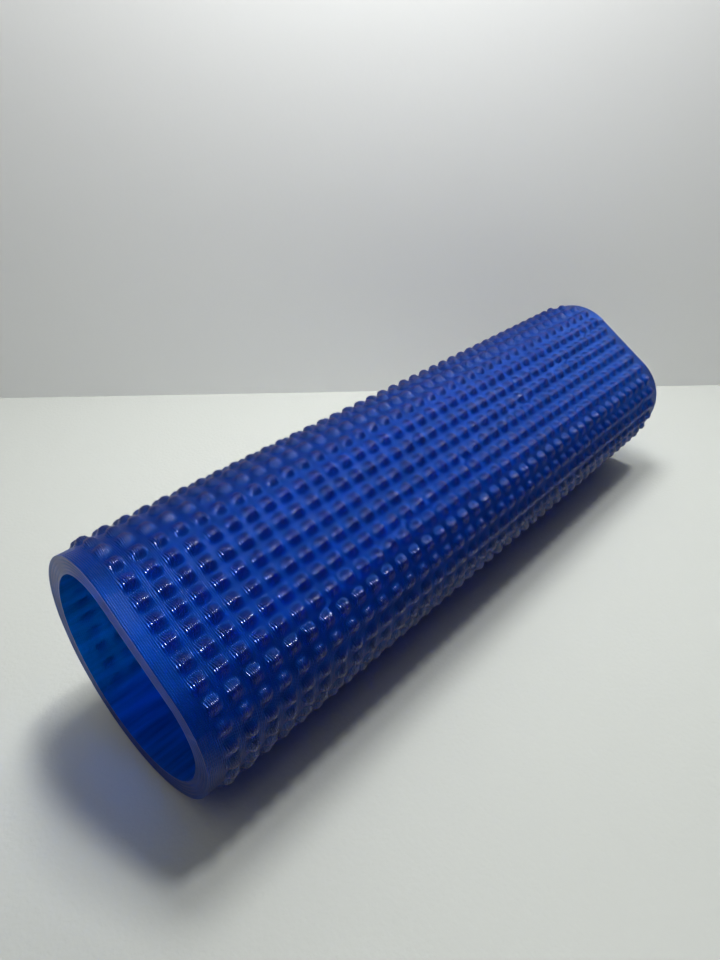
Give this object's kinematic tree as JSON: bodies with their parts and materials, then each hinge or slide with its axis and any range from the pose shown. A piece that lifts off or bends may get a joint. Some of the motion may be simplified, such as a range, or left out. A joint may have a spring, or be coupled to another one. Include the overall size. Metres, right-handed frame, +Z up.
{
  "type": "knobbed roller sleeve",
  "caption": "Printed translucent blue roller sleeve: an open tube, round with one flat side, covered in rows of small rounded knobs with a plain band at each end.",
  "frame": {"origin": "middle of the footprint, on the surface that the lowest knobs rest on", "axes": "+X along the tube, +Z up, and the flat side faces up and towards -Y"},
  "size_m": [0.095, 0.028, 0.0271],
  "materials": {
    "sleeve_plastic": "glossy translucent deep blue printed plastic with fine layer lines round the tube"
  },
  "bodies": {
    "root": {"knobbed_sleeve": "sleeve_plastic"}
  },
  "joints": []
}
